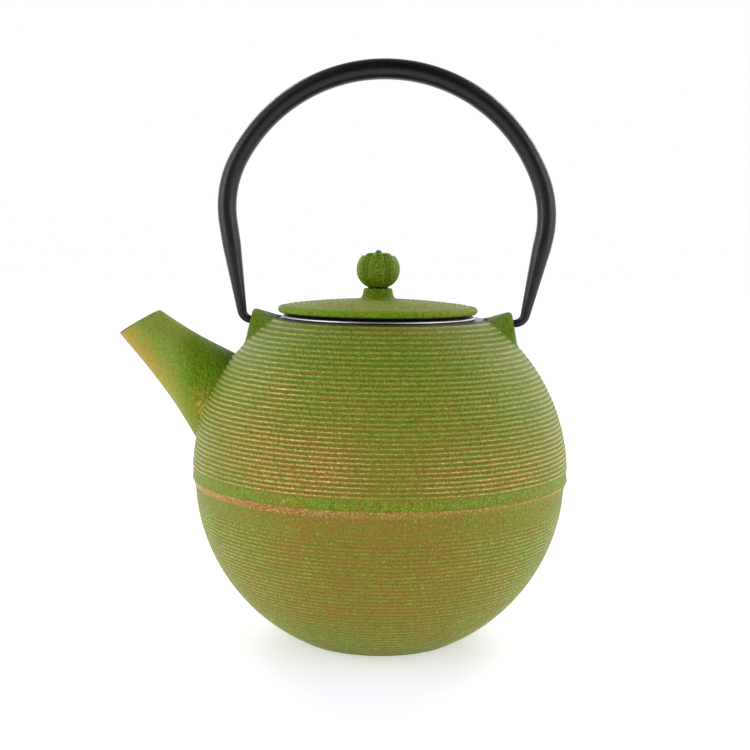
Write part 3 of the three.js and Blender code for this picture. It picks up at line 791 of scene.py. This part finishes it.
class Graph:
    """A node tree, whose nodes are added by short calls."""

    def __init__(self, tree):
        self.tree = tree

    def add(self, kind, inputs=(), **settings):
        node = self.tree.nodes.new(kind)
        for key, value in settings.items():
            setattr(node, key, value)
        for socket, value in inputs:
            self.set(node.inputs[socket], value)
        return node

    def set(self, socket, value):
        if isinstance(value, bpy.types.NodeSocket):
            self.tree.links.new(value, socket)
        else:
            socket.default_value = value

    def maths(self, operation, *values):
        return self.add("ShaderNodeMath", list(enumerate(values)), operation=operation).outputs[0]

    def plus(self, a, b):
        return self.maths("ADD", a, b)

    def minus(self, a, b):
        return self.maths("SUBTRACT", a, b)

    def times(self, *values):
        return functools.reduce(lambda a, b: self.maths("MULTIPLY", a, b), values)

    def most(self, *values):
        return functools.reduce(lambda a, b: self.maths("MAXIMUM", a, b), values)

    def vector(self, operation, *values):
        node = self.add("ShaderNodeVectorMath", list(enumerate(values)), operation=operation)
        return node.outputs["Value" if operation == "LENGTH" else "Vector"]

    def split(self, vector):
        return self.add("ShaderNodeSeparateXYZ", [(0, vector)]).outputs

    def step(self, value, low, high):
        """0 below low, 1 above high, smooth between; low may be the larger one."""
        flip = low > high
        ends = ((3, 1.0), (4, 0.0)) if flip else ((3, 0.0), (4, 1.0))
        inputs = [(0, value), (1, min(low, high)), (2, max(low, high)), *ends]
        return self.add("ShaderNodeMapRange", inputs, interpolation_type="SMOOTHSTEP").outputs[0]

    def mix(self, share, a, b):
        node = self.add("ShaderNodeMix", data_type="RGBA")
        for index, value in ((0, share), (6, a), (7, b)):
            self.set(node.inputs[index], (*value, 1) if isinstance(value, tuple) else value)
        return node.outputs[2]

    def blend(self, share, a, b):
        node = self.add("ShaderNodeMix", [(0, share), (2, a), (3, b)], data_type="FLOAT")
        return node.outputs[0]


class Surface(Graph):
    """A material's nodes. Lengths given to it are in millimetres."""

    def __init__(self, name):
        self.material = bpy.data.materials.new(name)
        self.material.use_nodes = True
        super().__init__(self.material.node_tree)
        self.shader = self.tree.nodes["Principled BSDF"]
        place = self.add("ShaderNodeTexCoord").outputs["Object"]
        self.place = self.vector("MULTIPLY", place, (1 / MM,) * 3)

    def distance(self, centre):
        return self.vector("LENGTH", self.vector("SUBTRACT", self.place, centre))

    def noise(self, size, detail=2.0, stretch=(1, 1, 1), roughness=0.5):
        """Noise whose blotches are about size across, stretched by so much along each axis."""
        scaled = self.vector("DIVIDE", self.place, stretch)
        inputs = [("Vector", scaled), ("Scale", 1 / size), ("Detail", detail), ("Roughness", roughness)]
        return self.add("ShaderNodeTexNoise", inputs).outputs["Fac"]

    def bump(self, height, distance):
        node = self.add("ShaderNodeBump", [("Height", height), ("Distance", distance * MM)])
        self.set(self.shader.inputs["Normal"], node.outputs["Normal"])

    def finish(self, **inputs):
        for name, value in inputs.items():
            socket = self.shader.inputs[name.replace("_", " ")]
            self.set(socket, (*value, 1) if isinstance(value, tuple) else value)
        return self.material


def srgb(red, green, blue):
    """A colour as scene-linear numbers from its 0 to 255 sRGB numbers."""
    def linear(value):
        value /= 255
        return value / 12.92 if value <= 0.04045 else ((value + 0.055) / 1.055) ** 2.4
    return linear(red), linear(green), linear(blue)


BLACK = (0.008, 0.008, 0.008)
GREEN = srgb(112, 148, 16)
YELLOW_GREEN = srgb(128, 146, 17)
DEEP_GREEN = srgb(78, 108, 8)
PALE_GREEN = srgb(216, 210, 128)
BROWN = srgb(144, 102, 36)
DARK_BROWN = srgb(84, 58, 30)
ORANGE = srgb(188, 138, 60)
COPPER = srgb(218, 156, 98)
GOLD = srgb(236, 198, 136)
DARK_COPPER = srgb(150, 92, 58)


def paint_colour(g, specks, painted_shade=0.0, painted_highlight=0.0, warm=0.0, flecks=0.0):
    """Green paint. The masks, all 0 to 1 but specks, change its colour in places.

    Where the shade mask is 1 it is darker, which is painted shade. Where the highlight mask is 1 it is
    paler, which is a painted highlight. Where warm is 1 it is orange. Brown shows through in grains, the
    more the higher specks is. Where flecks is above 0 there are pale grains too.
    """
    # Painted shade: the shade mask turns more of the paint deep green.
    fine = g.minus(g.noise(0.6, 2, roughness=0.6), g.times(painted_shade, 0.1))
    green = g.mix(g.step(g.noise(24, 3), 0.4, 0.6), GREEN, YELLOW_GREEN)
    green = g.mix(g.step(fine, 0.55, 0.35), green, DEEP_GREEN)
    green = g.mix(g.times(g.step(fine, 0.56, 0.7), flecks), green, PALE_GREEN)
    # Painted highlight: the highlight mask makes the paint paler.
    green = g.mix(painted_highlight, green, PALE_GREEN)
    green = g.mix(warm, green, ORANGE)
    streaks = g.noise(1.0, 3, stretch=(10, 10, 0.6), roughness=0.6)
    grains = g.blend(0.4, g.noise(0.62, 2, roughness=0.65), streaks)
    speckled = g.step(g.plus(grains, specks), 0.45, 0.63)
    return g.mix(speckled, green, BROWN)


def cosine(g, value, pitch, crest):
    """1 on the crest of each raised line and -1 between them."""
    turns = g.maths("DIVIDE", g.minus(value, crest), pitch)
    return g.maths("COSINE", g.times(turns, 2 * math.pi))


def rubbed_finish(g, paint, crest, rub, copper_all, black, gloss):
    """Paint with copper showing through on the crests, the more the higher rub is.

    It is all copper where copper_all is 1, and enamel where black is 1.
    """
    dashes = g.noise(0.7, 3, roughness=0.75)
    patches = g.noise(14, 3)
    worn = g.times(crest, 0.5)
    worn = g.plus(worn, g.times(g.minus(dashes, 0.5), 1.6))
    worn = g.plus(worn, g.times(g.minus(patches, 0.5), 0.5))
    worn = g.step(g.plus(worn, rub), 0.42, 0.8)
    grains = g.noise(0.4, 3, roughness=0.75)
    bare = g.step(g.plus(copper_all, g.times(g.minus(grains, 0.5), 1.3)), 0.35, 0.8)
    share = g.most(worn, bare)
    hue = g.minus(g.noise(0.7, 2), g.times(bare, 0.16))
    copper = g.mix(g.step(hue, 0.3, 0.5), DARK_COPPER, COPPER)
    copper = g.mix(g.step(hue, 0.5, 0.64), copper, GOLD)
    colour = g.mix(black, g.mix(share, paint, copper), BLACK)
    share = g.times(share, g.minus(1.0, black))
    grain = g.plus(g.noise(1.0, 2, roughness=0.65), g.times(g.noise(2.2, 2), 0.5))
    g.bump(grain, 0.85)
    dull = g.blend(crest, 0.55, 0.36)
    return g.finish(
        Base_Color=colour,
        Metallic=g.times(share, 0.85),
        Roughness=g.blend(share, dull, 0.3),
        Specular_IOR_Level=g.blend(black, gloss, 0.06),
        Specular_Tint=(1.0, 1.0, 0.65),
    )


# Where the pot's paint is worn, seen from the front: centre, size across and up, and strength.
WORN_PATCHES = (
    ((-28, 0, 77), (38, 20), 1.0),
    ((39, 0, 73.5), (31, 15), 0.72),
    ((-44, 0, 94), (26, 22), 0.55),
)


def worn_patch(g, centre, size):
    """1 in the middle of a patch of the pot, seen from the front, and 0 from size away from it."""
    x, _, z = g.split(g.vector("SUBTRACT", g.place, centre))
    across, up = g.maths("DIVIDE", x, size[0]), g.maths("DIVIDE", z, size[1])
    away = g.vector("LENGTH", g.add("ShaderNodeCombineXYZ", [(0, across), (1, up)]).outputs[0])
    return g.step(away, 1.2, 0.2)


def line_masks(g, z, gaps, on_dome, is_upper):
    """Crests of the raised lines, painted shade between them, and broken brown lines under the upper crests.
    """
    wander = g.times(g.minus(g.noise(9, 1), 0.5), 0.35)
    level = g.plus(z, wander)
    upper_wave = cosine(g, level, UPPER_PITCH, UPPER_CREST_Z)
    lower_wave = cosine(g, level, LOWER_PITCH, LOWER_CREST_Z)
    under_wave = cosine(g, level, UPPER_PITCH, UPPER_CREST_Z - 0.34 * UPPER_PITCH)
    upper_area = g.times(g.step(z, UPPER_RIBS_START - 0.8, UPPER_RIBS_START + 1.0), on_dome)
    lower_area = g.step(z, *LOWER_RIBS_FADE)
    upper = g.times(g.step(upper_wave, 0.1, 1.0), upper_area)
    lower = g.times(g.step(lower_wave, 0.0, 1.0), lower_area)
    crest = g.blend(is_upper, g.times(lower, 0.85), upper)
    # Painted shade: the hollows between the raised lines are darkened.
    upper_groove_shade = g.times(g.step(upper_wave, 0.0, -0.9), upper_area)
    lower_groove_shade = g.times(g.step(lower_wave, 0.0, -0.9), lower_area, 0.8)
    painted_shade = g.blend(is_upper, lower_groove_shade, upper_groove_shade)
    under_crest = g.times(g.step(under_wave, 0.3, 1.0), upper_area, is_upper, g.step(gaps, 0.38, 0.56))
    return crest, painted_shade, under_crest


def rub_strength(g, z, from_root, on_dome, is_upper):
    """How much of the paint is rubbed off: most in the worn patches and where the spout joins the belly."""
    patch = g.most(*(g.times(worn_patch(g, centre, size), share) for centre, size, share in WORN_PATCHES))
    on_margin = g.times(
        g.step(z, UPPER_RIBS_START + 1.0, UPPER_RIBS_START - 0.8),
        g.step(z, BAND_TOP_Z + 0.2, BAND_TOP_Z + 1.2),
    )
    upper = g.blend(patch, -0.14, g.blend(on_margin, 0.34, 0.46))
    beside_root = g.blend(g.step(from_root, 9, 3), -0.6, 0.36)
    return g.blend(on_dome, beside_root, g.blend(is_upper, -0.12, upper))


def speck_strength(g, z, to_side, crest, under_crest, on_dome, is_upper):
    """How much brown there is in grains: most under the crests, least on the spout and the ears."""
    upper = g.minus(g.blend(g.step(z, 118, 76), -0.1, 0.0), g.times(to_side, 0.04))
    upper = g.blend(g.step(z, 68, 66.5), upper, -0.02)
    lower = g.minus(g.blend(to_side, 0.07, 0.01), g.times(g.step(z, 26, 6), 0.06))
    specks = g.plus(g.blend(is_upper, lower, upper), g.times(under_crest, 0.22))
    specks = g.minus(specks, g.times(crest, 0.05))
    return g.blend(on_dome, -0.14, specks)


def highlight_strength(g, x, to_side, gaps, crest, raised):
    """Painted highlight that makes the paint paler: on the crests, more near the sides, and on the spout."""
    outermost = g.step(g.maths("ABSOLUTE", x), 58, 70)
    on_crest = g.times(crest, g.blend(to_side, 0.2, g.blend(outermost, 0.5, 1.0)), g.step(gaps, 0.56, 0.44))
    return g.most(on_crest, g.times(raised, g.step(x, -70, -82), 0.2))


def from_spout(g):
    """How far each place is from the lip along the spout, and how far below its middle line."""
    dx, _, dz = g.split(g.vector("SUBTRACT", g.place, (SPOUT_LIP[0], 0, SPOUT_LIP[1])))
    ahead_x, ahead_z = SPOUT_AHEAD
    from_lip = g.plus(g.times(dx, ahead_x), g.times(dz, ahead_z))
    below = g.plus(g.times(dx, ahead_z), g.times(dz, -ahead_x))
    return from_lip, below


def warm_strength(g, from_lip, below, from_root, raised):
    """Where the paint is thin enough to look orange: under the spout, and in blotches at its root."""
    edge = g.minus(below, g.times(from_lip, 0.16))
    edge = g.plus(edge, g.times(g.minus(g.noise(3, 3), 0.5), 5.0))
    along = g.times(g.step(edge, -3.0, 6.5), g.blend(g.step(from_lip, 5, 40), 0.56, 0.14))
    blotches = g.times(g.step(g.noise(1.6, 3), 0.44, 0.6), g.step(from_root, 11, 3), 0.8)
    return g.times(g.most(along, blotches), raised)


def bare_band(g, x, z):
    """The copper band, worn evenly on the spout's side and mostly along its top on the other."""
    band = g.times(
        g.step(z, BAND_FOOT_Z - 0.2, BAND_FOOT_Z + 0.6),
        g.step(z, BAND_TOP_Z + BAND_ROUND, BAND_TOP_Z + 0.05),
    )
    along_top = g.blend(g.step(z, BAND_TOP_Z - 1.0, BAND_TOP_Z - 0.3), 0.35, 0.7)
    return g.times(band, g.blend(g.step(x, 40, -40), along_top, 0.66))


def pot_paint():
    g = Surface("rubbed_paint")
    x, _, z = g.split(g.place)
    from_root = g.distance(SPOUT_RUB)
    from_lip, below = from_spout(g)
    height = g.minus(g.distance((0, 0, BELLY_Z)), UPPER_RADIUS)
    on_dome = g.step(height, 0.7, 0.42)
    raised = g.minus(1.0, on_dome)
    is_upper = g.step(z, BAND_FOOT_Z + 0.9, BAND_TOP_Z - 0.9)
    to_side = g.step(g.maths("ABSOLUTE", x), 12, 58)
    gaps = g.noise(0.6, 3, stretch=(2, 2, 1), roughness=0.75)
    crest, painted_shade, under_crest = line_masks(g, z, gaps, on_dome, is_upper)

    # Painted shade: darker paint on the ears, and on the spout near its root where it meets the belly.
    ear_shade = g.times(raised, g.step(x, -62, -58), 1.1)
    root_shade = g.times(raised, g.step(x, -80, -66), 0.3)
    paint = paint_colour(
        g,
        specks=speck_strength(g, z, to_side, crest, under_crest, on_dome, is_upper),
        painted_shade=g.most(painted_shade, ear_shade, root_shade),
        painted_highlight=highlight_strength(g, x, to_side, gaps, crest, raised),
        warm=warm_strength(g, from_lip, below, from_root, raised),
        flecks=g.blend(on_dome, 0.0, 0.34),
    )
    lip_face = g.step(g.plus(from_lip, g.times(below, LIP_SLANT)), 0.6, 0.2)
    lip_face = g.times(lip_face, g.step(x, -84, -87), 0.8)
    near_shell = g.step(height, 0.6, 0.2)
    mouth = g.times(g.step(z, MOUTH_Z - 0.6, MOUTH_Z - 0.4), near_shell)
    paint = g.mix(lip_face, paint, DARK_BROWN)
    paint = g.mix(g.times(mouth, 0.75), paint, DARK_BROWN)

    rub = rub_strength(g, z, from_root, on_dome, is_upper)
    copper_all = g.most(bare_band(g, x, z), g.times(mouth, 0.35))
    black = g.times(g.step(z, MOUTH_Z - 0.14, MOUTH_Z - 0.04), near_shell)
    return rubbed_finish(g, paint, crest, rub, copper_all, black, g.blend(raised, 0.32, 0.13))


def lid_height(g, radius):
    """The height of the lid's top surface at a radius."""
    share = g.maths("POWER", g.maths("DIVIDE", radius, LID_DOME_RADIUS), 2.0)
    return g.minus(LID_CROWN_Z, g.times(share, LID_CROWN_Z - LID_EDGE_TOP_Z))


def lid_paint():
    g = Surface("rubbed_lid_paint")
    own = g.vector("SUBTRACT", g.place, (axis_x("lid"), 0, 0))
    x, y, z = g.split(own)
    radius = g.vector("LENGTH", g.add("ShaderNodeCombineXYZ", [(0, x), (1, y)]).outputs[0])
    first, last = LID_RIBS
    wave = cosine(g, radius, LID_PITCH, first)
    lined_part = g.times(g.step(radius, first - 0.8, first + 0.6), g.step(radius, last + 0.6, last - 0.4))
    on_top = g.times(lined_part, g.step(z, LID_EDGE_TOP_Z - 0.7, LID_EDGE_TOP_Z - 0.3))
    crest = g.times(g.step(wave, -0.1, 0.9), on_top)
    # Painted shade: darker paint in the grooves between the lid's raised lines.
    groove_shade = g.times(g.step(wave, 0.0, -0.9), on_top, 0.6)
    # Painted shade: the collar under the knob is darker.
    collar_shade = g.times(g.step(z, LID_CROWN_Z - 0.1, LID_CROWN_Z + 0.9), 0.9)
    inside = g.step(g.minus(lid_height(g, radius), z), 1.0, 1.3)
    inside = g.times(inside, g.step(radius, LID_RADIUS - 0.2, LID_RADIUS - 0.6))
    black = g.most(inside, g.step(z, LID_FOOT_Z + 0.12, LID_FOOT_Z + 0.02))
    specks = g.blend(on_top, -0.14, -0.05)
    # Painted highlight: the crests on the lid are paler.
    painted_highlight = g.times(on_top, g.blend(crest, 0.0, 0.28))
    paint = paint_colour(g, specks, g.most(groove_shade, collar_shade), painted_highlight)
    return rubbed_finish(g, paint, crest, g.blend(on_top, -0.6, -0.2), 0.0, black, 0.14)


def plain_paint():
    g = Surface("plain_paint")
    grain = g.plus(g.noise(0.5, 2, roughness=0.7), g.times(g.noise(1.5, 2), 0.8))
    g.bump(grain, 0.22)
    z = g.split(g.place)[2]
    # Painted shadow: black just below the knob's bowl, in the gap above the collar.
    shadow_under_knob = g.times(g.step(z, KNOB_BOWL_Z + 0.15, KNOB_BOWL_Z), g.step(z, 130, 132))
    # Painted shade: the 0.9 darkens the knob, petals and rivet all over.
    colour = g.mix(shadow_under_knob, paint_colour(g, -0.13, 0.9), BLACK)
    return g.finish(Base_Color=colour, Roughness=0.55, Specular_IOR_Level=0.2)


def enamel():
    g = Surface("black_enamel")
    g.bump(g.noise(1.8, 3), 0.05)
    colour = g.mix(g.noise(6, 2), (0.010, 0.010, 0.011), (0.022, 0.021, 0.021))
    return g.finish(Base_Color=colour, Roughness=g.blend(g.noise(3, 2), 0.25, 0.4))


def satin_black():
    g = Surface("black_satin")
    grain = g.plus(g.noise(0.4, 3), g.times(g.noise(1.4, 2), 0.5))
    g.bump(grain, 0.1)
    colour = g.mix(g.noise(3, 3), (0.002, 0.0024, 0.0026), (0.006, 0.0064, 0.007))
    roughness = g.blend(g.noise(0.8, 2), 0.2, 0.28)
    return g.finish(Base_Color=colour, Roughness=roughness, Specular_IOR_Level=0.36)


def stainless(name, roughness):
    g = Surface(name)
    scratches = g.noise(0.35, 3, stretch=(12, 12, 0.6))
    g.bump(scratches, 0.015)
    colour = g.mix(g.noise(5, 2), srgb(224, 225, 227), srgb(240, 241, 243))
    uneven = g.blend(scratches, roughness, roughness + 0.12)
    return g.finish(Base_Color=colour, Metallic=1.0, Roughness=uneven)


# ---- studio

CAMERA_DISTANCE = 493.04
CAMERA_TURN = math.radians(2)
CAMERA_ELEVATION = math.radians(10.808)
CAMERA_PITCH = math.radians(6.415)
CAMERA_ROLL = math.radians(0.733)
CAMERA_LENS = 59.66
CAMERA_SHIFT = -0.0081
FLOOR_GLOW = 0.44
# The tent's brightness: from where to where, and the factors at both ends. The first two are by the
# cosine of the direction's angle from straight behind the pot, the last by its height.
TENT_FRONT = (-0.96, -0.6, 0.05, 1.0)
TENT_BACK = (-0.1, 0.6, 1.6, 1.15)
TENT_TOP = (0.4, 0.97, 1.0, 0.25)
SOFTBOX_DISTANCE = 0.9
# Azimuth and elevation in degrees, width and height in metres, and watts.
SOFTBOXES = {
    "left_softbox": (-62, 14, (0.3, 0.6), 2.0),
    "right_softbox": (66, 14, (0.3, 0.6), 1.35),
    "left_back_softbox": (-138, 36, (0.25, 0.4), 1.6),
    "right_back_softbox": (138, 36, (0.25, 0.4), 2.2),
}


def make_camera():
    """Stands in front of the belly, a little above it, and looks slightly down."""
    data = bpy.data.cameras.new("camera")
    data.lens = CAMERA_LENS
    data.sensor_width = 36
    data.shift_x = CAMERA_SHIFT
    camera = placed("camera", data)
    turn = Matrix.Rotation(CAMERA_TURN, 4, "Z")
    back = Vector((0, -math.cos(CAMERA_ELEVATION), math.sin(CAMERA_ELEVATION))) * CAMERA_DISTANCE
    ahead = Vector((0, math.cos(CAMERA_PITCH), -math.sin(CAMERA_PITCH)))
    right = Vector((1, 0, 0))
    up = right.cross(ahead)
    rolled_right = right * math.cos(CAMERA_ROLL) + up * math.sin(CAMERA_ROLL)
    rolled_up = up * math.cos(CAMERA_ROLL) - right * math.sin(CAMERA_ROLL)
    axes = Matrix((rolled_right, rolled_up, -ahead)).transposed().to_4x4()
    axes.translation = (back + Vector((0, 0, BELLY_Z))) * MM
    camera.matrix_world = turn @ axes
    bpy.context.scene.camera = camera


def softbox(name, azimuth, elevation, size, power):
    """A soft light that faces the pot. Azimuth 0 is the camera's side, positive to its right."""
    data = bpy.data.lights.new(name, "AREA")
    data.shape = "RECTANGLE"
    data.size, data.size_y = size
    data.energy = power
    light = placed(name, data)
    azimuth, elevation = math.radians(azimuth), math.radians(elevation)
    outwards = Vector((
        math.sin(azimuth) * math.cos(elevation),
        -math.cos(azimuth) * math.cos(elevation),
        math.sin(elevation),
    ))
    target = Vector((0, 0, BELLY_Z * MM))
    light.location = target + outwards * SOFTBOX_DISTANCE
    light.rotation_euler = outwards.to_track_quat("Z", "Y").to_euler()


def make_world():
    """White to look at. As a light it is a tent: bright at the sides, dim above and behind the camera."""
    world = bpy.data.worlds.new("studio")
    bpy.context.scene.world = world
    world.use_nodes = True
    g = Graph(world.node_tree)
    g.tree.nodes.clear()

    def ramp(value, low, high, at_low, at_high):
        return g.blend(g.step(value, low, high), at_low, at_high)

    x, y, z = g.split(g.add("ShaderNodeTexCoord").outputs["Generated"])
    level = g.maths("SQRT", g.plus(g.times(x, x), g.times(y, y)))
    ahead = g.maths("DIVIDE", y, g.most(level, 0.001))
    strength = g.times(ramp(ahead, *TENT_FRONT), ramp(ahead, *TENT_BACK), ramp(z, *TENT_TOP))
    white = ("Color", (1, 1, 1, 1))
    seen = g.add("ShaderNodeBackground", [white]).outputs[0]
    light = g.add("ShaderNodeBackground", [white, ("Strength", strength)]).outputs[0]
    is_seen = g.add("ShaderNodeLightPath").outputs["Is Camera Ray"]
    mix = g.add("ShaderNodeMixShader", [(0, is_seen), (1, light), (2, seen)])
    g.add("ShaderNodeOutputWorld", [(0, mix.outputs[0])])


def make_floor():
    """A pale table that glows a little, so that only the pot's own shadow is darker than white."""
    half = 4000
    corners = [(-half, -half, 0), (half, -half, 0), (half, half, 0), (-half, half, 0)]
    floor = mesh_object("floor", corners, [(0, 1, 2, 3)])
    g = Surface("floor")
    tone = g.mix(g.noise(60, 2), (0.84, 0.82, 0.98), (0.87, 0.85, 1.0))
    glow = {"Emission_Color": (1.0, 1.0, 1.0), "Emission_Strength": FLOOR_GLOW}
    floor.data.materials.append(g.finish(Base_Color=tone, Roughness=0.7, **glow))


make_camera()
make_world()
make_floor()
for name, light in SOFTBOXES.items():
    softbox(name, *light)
bpy.context.scene.view_settings.view_transform = "Standard"

paint, plain = pot_paint(), plain_paint()
steel, mesh_steel = stainless("stainless", 0.4), stainless("stainless_wire", 0.32)
make_pot(paint, enamel())
make_handle(satin_black())
make_lid(lid_paint())
make_knob(plain)
make_petals(plain)
make_rivet(plain)
make_washer(steel)
make_rim(steel)
make_sleeve(mesh_steel)
make_base_mesh(mesh_steel)
make_ring(steel)
